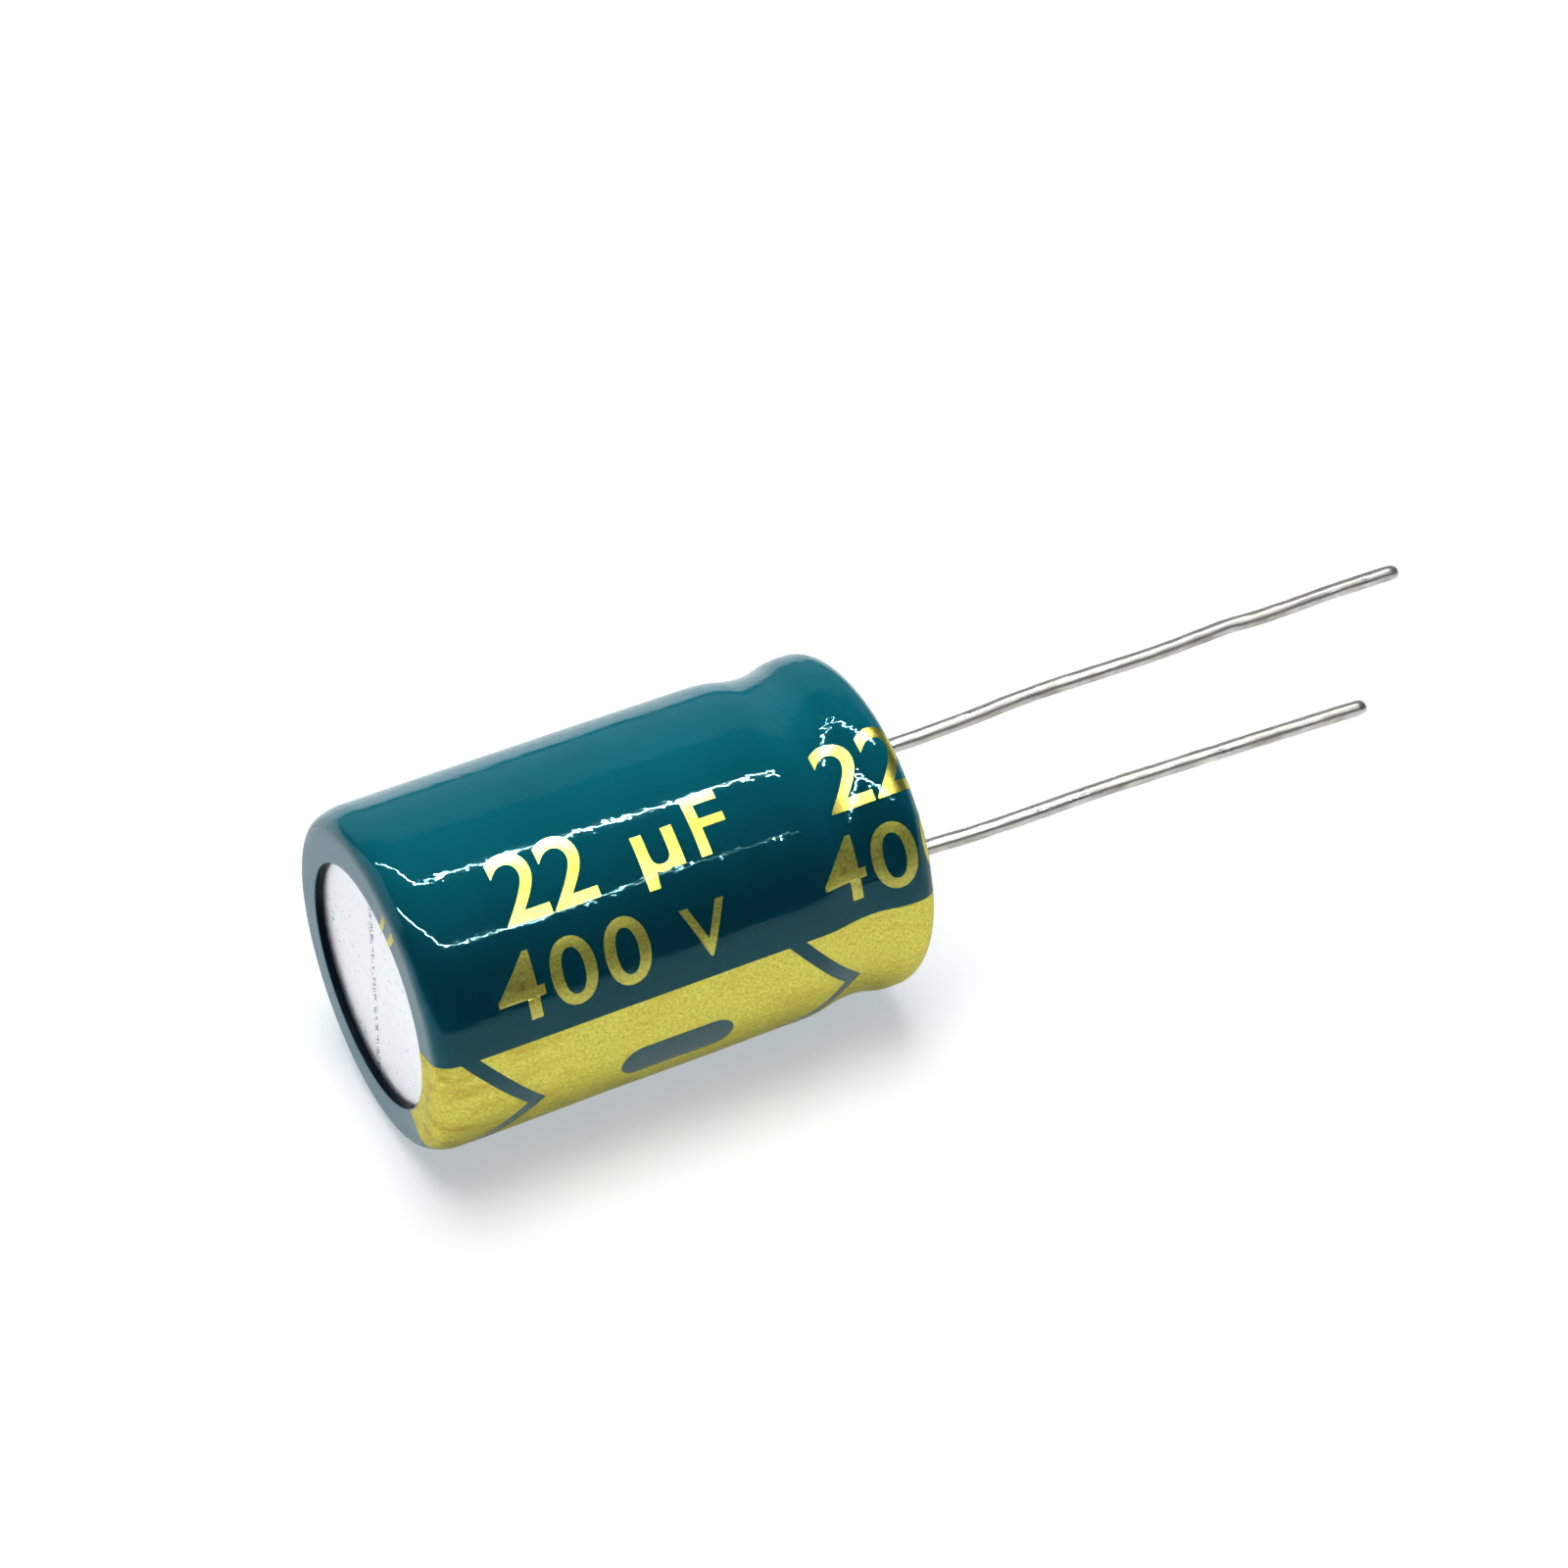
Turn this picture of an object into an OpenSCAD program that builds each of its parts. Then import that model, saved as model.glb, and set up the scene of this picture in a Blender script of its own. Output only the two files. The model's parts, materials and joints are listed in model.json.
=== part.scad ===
// Radial-lead aluminium electrolytic capacitor, standing on its vented closed end.
// The origin is the middle of the closed end, and +Z runs out through the seal to the lead tips.
// The leads lie along X, with the negative lead and the printed stripe on the +X side.

/* [Body] */
// Diameter over the sleeve
body_d = 13; // [12:0.5:18]
// Length over the sleeve, without the leads
body_len = 20; // [18:0.5:36]
// Radius of the rounded edge at the lead end, over the sleeve
edge_r = 0.85; // [0.7:0.05:0.9]
// Radius of the rounded edge at the closed end, over the sleeve
foot_r = 0.7; // [0.7:0.05:0.8]
// Radius of the wide arc that eases that edge into the wall
foot_ease_r = 2.2; // [1.5:0.1:3]
// Angle that the wide arc turns through
foot_ease_turn = 22; // [10:1:30]

/* [Sleeve] */
// Thickness of the shrunk sleeve
sleeve_t = 0.28; // [0.15:0.01:0.32]
// Width of the sleeve's lip over the closed end
lip_w = 1.87; // [1.2:0.01:2.4]
// Width of the sleeve's lip over the rim at the lead end
rim_lip_w = 1.2; // [1:0.1:1.4]
// How far the sleeve dips over the bead
dip_depth = 0.26; // [0.1:0.02:0.4]

/* [Can] */
// Wall of the drawn can
can_t = 0.3; // [0.2:0.05:0.35]
// Distance from the lead end to the middle of the bead
bead_from_end = 2.75; // [2.7:0.05:3.2]
// Reach of the bead from its middle towards the closed end
bead_below = 2.2; // [1.6:0.1:2.4]
// Reach of the bead from its middle towards the lead end
bead_above = 1.7; // [1.6:0.1:1.8]
// Depth of the bead
bead_depth = 0.8; // [0.6:0.05:0.9]
// Radius of the bead's shoulders
bead_shoulder_r = 1.2; // [0.9:0.05:1.3]
// How far the curled rim reaches in over the seal
curl_w = 1.4; // [1.2:0.1:1.8]
// Length of each score line of the vent
score_len = 7.4; // [5:0.1:8]
// Width of a score line at the surface
score_w = 0.26; // [0.15:0.01:0.4]
// Depth of a score line
score_depth = 0.12; // [0.05:0.01:0.16]
// Turn of the vent's cross about the axis
score_turn = -8; // [-45:1:45]

/* [Leads] */
// Distance between the two leads
lead_pitch = 5; // [4.5:0.5:5.5]
// Diameter of the tinned lead wire
wire_d = 0.6; // [0.5:0.1:0.8]
// Reach of the positive lead past the body
positive_reach = 25.6; // [19:0.1:36]
// Reach of the negative lead past the body
negative_reach = 20.8; // [14:0.1:30]
// Straight stretch of the positive lead past the body
positive_straight = 17.5; // [4:0.5:18]
// Straight stretch of the negative lead past the body
negative_straight = 3; // [2:0.5:4]

/* [Seal] */
// How far the rubber seal reaches below the bead
seal_skirt = 0.2; // [0.1:0.1:1]
// Height of the seal's middle above the underside of the curled rim
seal_boss_h = 0.2; // [0.1:0.05:0.25]

/* [Winding] */
// Diameter of the hole that the winding mandrel leaves
core_d = 2; // [1.6:0.1:2.4]
// Thickness of each foil, drawn in fewer and thicker turns than the real one
foil_t = 0.28; // [0.24:0.01:0.34]
// Thickness of each separator paper
paper_t = 0.13; // [0.1:0.01:0.2]
// Thickness of the fixing tape
tape_t = 0.12; // [0.08:0.01:0.15]
// Free height between the winding and the seal
free_h = 1; // [0.8:0.1:1.5]
// How far the papers reach past the foils at each end
paper_margin = 0.6; // [0.4:0.1:1]
// Diameter of the terminal stems in the seal
stem_d = 1.3; // [1.1:0.1:1.5]
// Width of the flattened terminal blades
blade_w = 1.9; // [1.5:0.1:2.2]
// Thickness of the blades
blade_t = 0.12; // [0.08:0.01:0.14]

/* [Stripe] */
// Width of the printed stripe, measured round the sleeve
stripe_w = 6.2; // [4:0.1:7]
// Turn of the stripe's middle from the negative lead
stripe_turn = 6.5; // [-20:0.5:20]
// Distance at which the stripe's marks repeat
mark_pitch = 12.9; // [11:0.1:16]
// Height of the first arrow's tip
arrow_tip_z = 4.04; // [3.6:0.01:5]
// Thickness of an arrow's limb, measured along the body
arrow_limb = 0.7; // [0.4:0.05:1]
// Rise of an arrow from the stripe's edges to its tip
arrow_rise = 2.5; // [1.5:0.1:3]
// Height of the first minus sign's middle
minus_z = 9.3; // [8.5:0.1:10]
// Length of a minus sign
minus_len = 4.5; // [3:0.1:5]
// Width of a minus sign
minus_w = 1.7; // [1:0.1:2]

/* [Hidden] */
$fn = 64;

// Clearance between pieces that seat on each other
seat_gap = 0.02;
// Radial clearance round the welds in the seal
weld_gap = 0.05;
// Thickness of the printed ink
ink_t = 0.03;
// Rounded edge at the inside of the sleeve's lips
lip_round = 0.1;
// Straight pieces in each arc of an outline
arc_steps = 6;
// Angle between the corners of a spiral turn
turn_step = 15;
// Radius at which a lead bends, at its middle
bend_r = 8;
// Lean of each lead at its bends, outwards where positive
negative_lean_1 = 1.3;
negative_lean_2 = 1.1;
positive_lean = -1;
// Share of the leaning part of the negative lead that comes before its second bend
second_bend_share = 0.5;
// How far the weld swells past the wire, and its height in the seal
weld_t = 0.16;
weld_h = 0.7;
// Depth and width of the dish round each lead in the top of the seal
dish_h = 0.3;
dish_w = 0.45;
// How far the weld's cone rises out of its dish
weld_rise = 0.1;
// Clearance round the winding in the can
winding_gap = 0.25;
// Angle down to which the stripe's ink follows each rounded edge
ink_edge_turn = 60;
// Clearance from the winding up to the stems
stem_gap = 0.3;
// Clearance from the foot of a foil up to its blade
blade_inset = 1;
// How far a blade runs on beside its stem
blade_root = 0.4;
// Reach of a cut past the surface that it opens
cut = 1;

body_r = body_d / 2;
can_r = body_r - sleeve_t;
can_end_z = body_len - sleeve_t;
can_edge_r = edge_r - sleeve_t;
bore_r = can_r - can_t;
curl_z = can_end_z - can_t;
bead_z = body_len - bead_from_end;
foot_flat_r = body_r - foot_ease_r + (foot_ease_r - foot_r) * cos(foot_ease_turn);
foot_wall_z = foot_r + (foot_ease_r - foot_r) * sin(foot_ease_turn);
score_r = score_w / 2;

seal_foot_z = bead_z - bead_below - seal_skirt;
seal_top_z = curl_z + seal_boss_h;
boss_r = can_r - curl_w - seat_gap;
wire_r = wire_d / 2;
stem_r = stem_d / 2;
weld_r = wire_r + weld_t;
weld_top_z = seal_top_z - dish_h;
weld_foot_z = weld_top_z - weld_h;
lead_r = lead_pitch / 2;

winding_foot_z = sleeve_t + can_t + seat_gap;
winding_top_z = seal_foot_z - free_h;
foil_foot_z = winding_foot_z + paper_margin;
foil_top_z = winding_top_z - paper_margin;
stem_foot_z = winding_top_z + stem_gap;
blade_foot_z = foil_foot_z + blade_inset;
blade_top_z = stem_foot_z + blade_root;
core_r = core_d / 2;
anode_at = 0;
inner_paper_at = anode_at + foil_t + seat_gap;
cathode_at = inner_paper_at + paper_t + seat_gap;
outer_paper_at = cathode_at + foil_t + seat_gap;
turn_pitch = outer_paper_at + paper_t + seat_gap;
winding_r = bore_r - winding_gap - tape_t;
turns = (winding_r - core_r) / turn_pitch - 1;
last_angle = turn_step * floor(360 * turns / turn_step);

stripe_angle = stripe_w / body_r * 180 / PI;
marks = ceil(body_len / mark_pitch);

// Sum of the radii of two arcs that join smoothly over this length and this depth
function arcs_sum(length, depth) = (length * length + depth * depth) / (2 * depth);

// Points of an arc about [x, y], from angle a0 to angle a1
function arc(x, y, r, a0, a1, steps = arc_steps) =
    [for (i = [0 : steps]) let (a = a0 + (a1 - a0) * i / steps) [x + r * cos(a), y + r * sin(a)]];

// The points without the first and the last
function inner(points) = [for (i = [1 : len(points) - 2]) points[i]];

// The points from the last to the first
function reversed(points) = [for (i = [len(points) - 1 : -1 : 0]) points[i]];

// Lower half of a groove rolled into a wall of radius r, from the wall up to its root
function half_groove(r, depth, shoulder_r, root_r, z) =
    let (sum = shoulder_r + root_r)
    let (turn = acos((sum - depth) / sum))
    concat(
        arc(r - shoulder_r, z - sum * sin(turn), shoulder_r, 0, turn),
        inner(arc(r - depth + root_r, z, root_r, 180 + turn, 180))
    );

// The points turned over about a height, from the last to the first
function flipped(points, z) = [for (p = reversed(points)) [p.x, 2 * z - p.y]];

// Points of a groove, going up, from the radii of its arcs below and above its root
function groove(r, depth, shoulders, roots, z) = concat(
    half_groove(r, depth, shoulders[0], roots[0], z),
    [[r - depth, z]],
    flipped(half_groove(r, depth, shoulders[1], roots[1], z), z)
);

// The sleeve's dip at a distance in from its outer surface
function dip_line(inset) =
    let (radii = [for (half = [bead_below, bead_above]) arcs_sum(half, dip_depth) / 2])
    groove(
        body_r - inset, dip_depth,
        [for (r = radii) r - inset],
        [for (r = radii) r + inset],
        bead_z
    );

// The can's bead at a distance in from its outer surface
function bead_line(inset) =
    let (roots = [for (half = [bead_below, bead_above]) arcs_sum(half, bead_depth) - bead_shoulder_r])
    groove(
        can_r - inset, bead_depth,
        [for (r = roots) bead_shoulder_r - inset],
        [for (r = roots) r + inset],
        bead_z
    );

// The rounded edge by the closed end at a distance in from its outer surface, from angle a0
function foot_line(inset, a0 = -90) = concat(
    arc(foot_flat_r, foot_r, foot_r - inset, a0, -foot_ease_turn),
    inner(arc(body_r - foot_ease_r, foot_wall_z, foot_ease_r - inset, -foot_ease_turn, 0)),
    [[body_r - inset, foot_wall_z]]
);

// The sleeve's rounded edge by the leads at a distance in from its outer surface, to angle a1
function rim_line(inset, a1 = 90) =
    arc(body_r - edge_r, body_len - edge_r, edge_r - inset, 0, a1);

// Outline of the sleeve at a distance in from its outer surface, from the closed end up
function sleeve_line(inset) = concat(foot_line(inset), dip_line(inset), rim_line(inset));

// Outline of the can at a distance in from its outer surface, from the closed end up
function can_line(inset) = concat(
    foot_line(sleeve_t + inset),
    bead_line(inset),
    arc(can_r - can_edge_r, can_end_z - can_edge_r, can_edge_r - inset, 0, 90)
);

// Outline of the printed wall at a distance in from the sleeve's outer surface
function ink_line(inset) = concat(
    foot_line(inset, -ink_edge_turn),
    dip_line(inset),
    rim_line(inset, ink_edge_turn)
);

// Radius of the winding at an angle counted from its start, for a layer that begins at
function wound(angle, at) = core_r + turn_pitch * angle / 360 + at;

// Outline of a wound layer from angle a0 to angle a1, both on the corners of the spiral
function layer(at, thick, a0, a1) =
    let (angles = [a0 : turn_step : a1])
    concat(
        [for (a = angles) wound(a, at) * [cos(a), sin(a)]],
        reversed([for (a = angles) wound(a, at + thick) * [cos(a), sin(a)]])
    );

// Angle along the winding at which the outside of a foil passes the lead on one side
function blade_angle(at, side) =
    side + 360 * round((lead_r - core_r - at - foil_t) / turn_pitch - side / 360);

module can() {
    tip_r = can_t / 2;
    color("gainsboro")
    difference() {
        rotate_extrude()
            polygon(concat(
                [[0, sleeve_t + can_t], [0, sleeve_t]],
                can_line(0),
                arc(can_r - curl_w + tip_r, can_end_z - tip_r, tip_r, 90, 270),
                reversed(can_line(can_t))
            ));
        for (turn = [0, 90])
            rotate(score_turn + turn) score();
    }
}

// One V-shaped score line across the closed end
module score() {
    translate([-score_len / 2, 0, sleeve_t])
        rotate([90, 0, 90])
            linear_extrude(score_len)
                polygon([[-score_r, 0], [0, score_depth], [score_r, 0], [0, -score_depth]]);
}

module sleeve() {
    lip_r = body_r - lip_w;
    rim_lip_r = body_r - rim_lip_w;
    color("#123a3e")
    rotate_extrude()
        polygon(concat(
            arc(lip_r + lip_round, lip_round, lip_round, 180, 270),
            sleeve_line(0),
            arc(rim_lip_r + lip_round, body_len - lip_round, lip_round, 90, 180),
            [[rim_lip_r, can_end_z]],
            reversed(sleeve_line(sleeve_t)),
            [[lip_r, sleeve_t]]
        ));
}

module negative_stripe() {
    color("#c8be46")
    rotate(stripe_turn)
    difference() {
        rotate_extrude(angle = stripe_angle, start = -stripe_angle / 2)
            polygon(concat(ink_line(-ink_t), reversed(ink_line(0))));
        for (i = [0 : marks - 1])
            translate([0, 0, i * mark_pitch]) {
                arrow_mark();
                minus_mark();
            }
    }
}

// Gap in the stripe shaped like an arrow that points to the leads
module arrow_mark() {
    half = stripe_w / 2;
    foot_z = arrow_tip_z - arrow_rise;
    mark([
        [-half, foot_z],
        [0, arrow_tip_z],
        [half, foot_z],
        [half, foot_z - arrow_limb],
        [0, arrow_tip_z - arrow_limb],
        [-half, foot_z - arrow_limb]
    ]);
}

// Gap in the stripe shaped like a minus sign with round ends
module minus_mark() {
    reach = (minus_len - minus_w) / 2;
    mark(concat(
        arc(0, minus_z + reach, minus_w / 2, 0, 180),
        arc(0, minus_z - reach, minus_w / 2, 180, 360)
    ));
}

// Cutter through the ink, from points that lie across and along the stripe
module mark(points) {
    translate([body_r / 2, 0, 0])
        rotate([90, 0, 90])
            linear_extrude(body_r)
                polygon(points);
}

module seal() {
    color("#2b2a29")
    difference() {
        rotate_extrude()
            polygon(concat(
                [[0, seal_foot_z], [bore_r - seat_gap, seal_foot_z]],
                bead_line(can_t + seat_gap),
                [
                    [can_r - can_edge_r - seat_gap, curl_z - seat_gap],
                    [boss_r, curl_z - seat_gap],
                    [boss_r, seal_top_z],
                    [0, seal_top_z]
                ]
            ));
        for (side = [-1, 1])
            translate([side * lead_r, 0, 0]) lead_hole();
    }
}

// Hole for a terminal stem, which narrows round the weld and opens in a dish
module lead_hole() {
    rotate_extrude()
        polygon([
            [0, seal_foot_z - cut],
            [stem_r + seat_gap, seal_foot_z - cut],
            [stem_r + seat_gap, weld_foot_z],
            [weld_r + weld_gap, weld_foot_z],
            [weld_r + weld_gap, weld_top_z],
            [weld_r + dish_w, seal_top_z],
            [weld_r + dish_w, seal_top_z + cut],
            [0, seal_top_z + cut]
        ]);
}

module positive_lead() {
    straight = body_len + positive_straight - weld_top_z;
    rest = positive_reach - positive_straight;
    color("silver")
    rotate(180)
        translate([lead_r, 0, 0])
            lead([[straight, positive_lean], [rest, 0]]);
}

module negative_lead() {
    straight = body_len + negative_straight - weld_top_z;
    rest = negative_reach - negative_straight;
    color("silver")
    translate([lead_r, 0, 0])
        lead([
            [straight, negative_lean_1],
            [rest * second_bend_share, negative_lean_2],
            [rest * (1 - second_bend_share), 0]
        ]);
}

// Lead wire on its swollen weld, from a list of [length, lean that follows it]
module lead(runs) {
    translate([0, 0, weld_foot_z])
        cylinder(h = weld_h, r = weld_r);
    translate([0, 0, weld_top_z]) {
        cylinder(h = dish_h + weld_rise, r1 = weld_r, r2 = wire_r);
        wire_run(runs, 0);
    }
}

// A straight length of wire, then its bend and the lengths that follow
module wire_run(runs, i) {
    length = runs[i][0];
    lean = runs[i][1];
    cylinder(h = length, r = wire_r);
    if (i < len(runs) - 1)
        translate([0, 0, length]) {
            bend(lean);
            translate([sign(lean) * bend_r * (1 - cos(lean)), 0, bend_r * sin(abs(lean))])
                rotate([0, lean, 0])
                    wire_run(runs, i + 1);
        }
}

// A short stretch of wire that turns from +Z towards +X, or towards -X where lean is negative
module bend(lean) {
    angle = abs(lean);
    rotate(lean < 0 ? 180 : 0)
        translate([bend_r, 0, 0])
            rotate([90, 0, 0])
                rotate_extrude(angle = angle, start = 180 - angle)
                    translate([bend_r, 0]) circle(wire_r);
}

module positive_tab() {
    color("lightgray") tab(anode_at, 180);
}

module negative_tab() {
    color("lightgray") tab(cathode_at, 0);
}

// Terminal with a round stem in the seal and a blade against the outside of its foil
module tab(at, side) {
    rotate(side)
        translate([lead_r, 0, stem_foot_z])
            cylinder(h = weld_foot_z - stem_foot_z, r = stem_r);
    translate([0, 0, blade_foot_z])
        linear_extrude(blade_top_z - blade_foot_z)
            blade_plan(at + foil_t - blade_t, blade_t, blade_w, blade_angle(at, side));
}

// Plan of a flat strip that follows the winding about one angle
module blade_plan(at, thick, width, middle) {
    intersection() {
        polygon(layer(at, thick, middle - 3 * turn_step, middle + 3 * turn_step));
        rotate(middle)
            translate([0, -width / 2])
                square([body_r, width]);
    }
}

module anode_foil() {
    color("#b9bcc0") foil(anode_at, 180);
}

module cathode_foil() {
    color("#d4d6d9") foil(cathode_at, 0);
}

// Foil wound from end to end, pressed in where its terminal's blade lies on it
module foil(at, side) {
    bed = blade_t + seat_gap;
    difference() {
        translate([0, 0, foil_foot_z])
            linear_extrude(foil_top_z - foil_foot_z)
                polygon(layer(at, foil_t, 0, last_angle));
        translate([0, 0, blade_foot_z - seat_gap])
            linear_extrude(foil_top_z - blade_foot_z + cut)
                blade_plan(at + foil_t - bed, bed + seat_gap / 2, blade_w + 2 * seat_gap,
                    blade_angle(at, side));
    }
}

module inner_paper() {
    color("#d9c9a0") separator(inner_paper_at);
}

module outer_paper() {
    color("#cdbb8e") separator(outer_paper_at);
}

// Separator paper, which reaches past the foils at both ends
module separator(at) {
    translate([0, 0, winding_foot_z])
        linear_extrude(winding_top_z - winding_foot_z)
            polygon(layer(at, paper_t, 0, last_angle));
}

module fixing_tape() {
    color("#c98f3c")
    translate([0, 0, foil_foot_z])
        linear_extrude(foil_top_z - foil_foot_z)
            polygon(layer(turn_pitch, tape_t, last_angle - 360, last_angle));
}

can();
sleeve();
negative_stripe();
seal();
positive_lead();
negative_lead();
positive_tab();
negative_tab();
anode_foil();
cathode_foil();
inner_paper();
outer_paper();
fixing_tape();
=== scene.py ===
"""Looks of a radial-lead electrolytic capacitor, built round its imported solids.

The part stands on its vented end with its axis along +Z. The camera looks at it as the photograph
does, where it lies on its side, so the picture's floor is a plane beside the sleeve.
Lengths in the named values are millimetres and angles are degrees; the room's lengths are metres.
"""
import json
import math

import bmesh
import bpy
import numpy as np
from mathutils import Matrix, Vector, noise

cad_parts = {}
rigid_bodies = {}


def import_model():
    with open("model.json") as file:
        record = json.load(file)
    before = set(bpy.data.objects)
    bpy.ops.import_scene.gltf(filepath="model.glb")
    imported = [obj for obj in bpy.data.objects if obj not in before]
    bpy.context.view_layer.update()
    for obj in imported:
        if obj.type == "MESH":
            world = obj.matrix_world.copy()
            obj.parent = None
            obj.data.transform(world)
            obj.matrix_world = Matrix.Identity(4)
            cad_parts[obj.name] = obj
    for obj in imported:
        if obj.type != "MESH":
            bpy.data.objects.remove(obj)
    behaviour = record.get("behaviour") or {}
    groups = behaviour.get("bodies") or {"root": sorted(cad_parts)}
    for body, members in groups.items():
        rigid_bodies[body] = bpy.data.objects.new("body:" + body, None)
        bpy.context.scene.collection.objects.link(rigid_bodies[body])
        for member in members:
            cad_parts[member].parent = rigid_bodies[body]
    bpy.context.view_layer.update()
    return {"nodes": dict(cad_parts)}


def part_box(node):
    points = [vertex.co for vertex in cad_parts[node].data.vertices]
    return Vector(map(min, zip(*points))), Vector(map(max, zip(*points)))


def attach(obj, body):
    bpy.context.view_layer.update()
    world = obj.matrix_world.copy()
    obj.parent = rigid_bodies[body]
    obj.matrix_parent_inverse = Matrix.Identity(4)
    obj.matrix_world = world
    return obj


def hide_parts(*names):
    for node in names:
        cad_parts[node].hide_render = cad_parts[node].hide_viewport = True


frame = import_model()
NODES = frame["nodes"]
MM = 0.001

# Body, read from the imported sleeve
SLEEVE_LO, SLEEVE_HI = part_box("sleeve")
BODY_R = (SLEEVE_HI.x - SLEEVE_LO.x) / 2 / MM
BODY_LEN = SLEEVE_HI.z / MM
CAN_R = (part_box("can")[1].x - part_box("can")[0].x) / 2 / MM
SLEEVE_T = BODY_R - CAN_R

# Sizes that the frame doesn't tell, as in the part's source
EDGE_R = 0.85
FOOT_R = 0.7
FOOT_EASE_R = 2.2
FOOT_EASE_TURN = 22
LIP_W = 1.87
RIM_LIP_W = 1.2
LIP_ROUND = 0.1
DIP_DEPTH = 0.26
BEAD_FROM_END = 2.75
DIP_BELOW = 2.2
DIP_ABOVE = 1.7
SCORE_TURN = -8
WIRE_R = 0.3
WELD_LEN = 0.7
WELD_CONE = 0.4
LEAD_PITCH = 5
STRIPE_W = 6.2
STRIPE_TURN = 6.5
MARK_PITCH = 12.9
ARROW_TIP = 4.04
ARROW_LIMB = 0.7
ARROW_RISE = 2.5
MINUS_MIDDLE = 9.3
MINUS_LEN = 4.5
MINUS_W = 1.7

# Mesh fineness
ROUND_STEPS = 256
ARC_STEPS = 12
LIP_STEPS = 5
OUTLINE_STEP = 0.24
INNER_POINTS = 90
SLOPE_REACH = 0.02
PRINT_STEP = 0.18
MERGE_REACH = 1e-4
CUT_REACH = 1e-5
LETTER_STEPS = 6
WIRE_STEP = 0.12
WIRE_SIDES = 24

# Ink on the film
INK_LIFT = 0.012
INK_T = 0.008
# Shrunk film: how far it stands off a true cylinder, and how fine its ripple is round and along
RIPPLE = 0.02
RIPPLE_TURNS = 2.2
RIPPLE_ALONG = 0.22
# Share of the lip's rounding up to which its edge is cut film, painted dark as shade
LIP_CUT = 0.45

# Floor of the room: how white it looks, and how much of that light the part gets from it
FLOOR_SIZE = 3.0
FLOOR_WHITE = 0.9
FLOOR_BOUNCE = 0.4
FLOOR_GLOW = 0.46
FLOOR_MIRROR_GLOW = 0.3
# Ground a hair below the lip, so that the two don't share a plane
GROUND_GAP = 0.03
GROUND_SIZE = 1.2
# Faint light from all round
SKY_COLOUR = (0.5, 0.72, 1.0, 1)
SKY_STRENGTH = 0.09

# Ceiling tubes, dim in places behind blinds and housings: the middle (right, front, up), and
# stretches of (length, radiance) from the left end to the right
TUBES = {
    "tube_back": ((-0.08, -0.162, 0.6), [(0.36, 120), (0.194, 380), (0.015, 70), (0.151, 380)]),
    "tube_front": ((0.10, 0.27, 0.6), [(0.39, 380), (0.394, 420), (0.028, 30), (0.04, 180),
                                       (0.02, 40), (0.058, 10), (0.05, 240)]),
}
TUBE_WIDTH = 0.006
# Turn of the tubes from the room's right
TUBE_TURN = 9

# Room of the photograph: the direction up from its floor, as an azimuth in the part's frame
FLOOR_UP_AZIMUTH = -100.8
# Camera: where it stands, and the place it looks at
CAMERA_AZIMUTH = -56.0
CAMERA_ELEVATION = -14.77
CAMERA_DISTANCE = 159.48
CAMERA_AIM = (3.644, -8.679, 14.154)
LENS = 101.6
SENSOR_WIDTH = 36.0
NEAR_CLIP = 0.005
FAR_CLIP = 20.0


def polar(azimuth, elevation=0.0):
    """Unit vector at an azimuth from +X and an elevation above the part's horizon."""
    a, e = math.radians(azimuth), math.radians(elevation)
    return Vector((math.cos(a) * math.cos(e), math.sin(a) * math.cos(e), math.sin(e)))


UP = polar(FLOOR_UP_AZIMUTH)


def camera():
    """Sets up the photograph's camera and returns the direction of its right-hand side."""
    place = polar(CAMERA_AZIMUTH, CAMERA_ELEVATION) * CAMERA_DISTANCE * MM
    back = (place - Vector(CAMERA_AIM) * MM).normalized()
    right = UP.cross(back).normalized()
    data = bpy.data.cameras.new("camera")
    data.lens = LENS
    data.sensor_width = SENSOR_WIDTH
    data.clip_start = NEAR_CLIP
    data.clip_end = FAR_CLIP
    obj = bpy.data.objects.new("camera", data)
    bpy.context.scene.collection.objects.link(obj)
    axes = Matrix((right, back.cross(right), back)).transposed().to_4x4()
    obj.matrix_world = Matrix.Translation(place) @ axes
    bpy.context.scene.camera = obj
    return right


RIGHT = camera()
FRONT = RIGHT.cross(UP)
MIDDLE = Vector((0, 0, BODY_LEN / 2 * MM))
# The part's own +Z, as a direction of the room
PART_UP = Vector((RIGHT.z, FRONT.z, UP.z))


def room(right, front, up):
    """A direction given in the photograph's room: to its right, towards the viewer, and up."""
    return (RIGHT * right + FRONT * front + UP * up).normalized()


# Node helpers

def new_material(name):
    """A new node material, its tree and its main shader."""
    mat = bpy.data.materials.new(name)
    mat.use_nodes = True
    tree = mat.node_tree
    return mat, tree, tree.nodes["Principled BSDF"]


def add(tree, kind, **values):
    """Adds a node; a value named like a socket, with _ for a blank, sets that input."""
    node = tree.nodes.new(kind)
    for key, value in values.items():
        if hasattr(node, key):
            setattr(node, key, value)
        else:
            node.inputs[key.replace("_", " ")].default_value = value
    return node


def ramp(tree, source, stops):
    """Colour ramp fed by a socket, with stops of (place, colour or grey)."""
    node = tree.nodes.new("ShaderNodeValToRGB")
    tree.links.new(source, node.inputs["Fac"])
    elements = node.color_ramp.elements
    while len(elements) < len(stops):
        elements.new(0.5)
    for element, (place, colour) in zip(elements, stops):
        element.position = place
        element.color = (colour, colour, colour, 1) if isinstance(colour, float) else (*colour, 1)
    return node.outputs["Color"]


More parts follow.
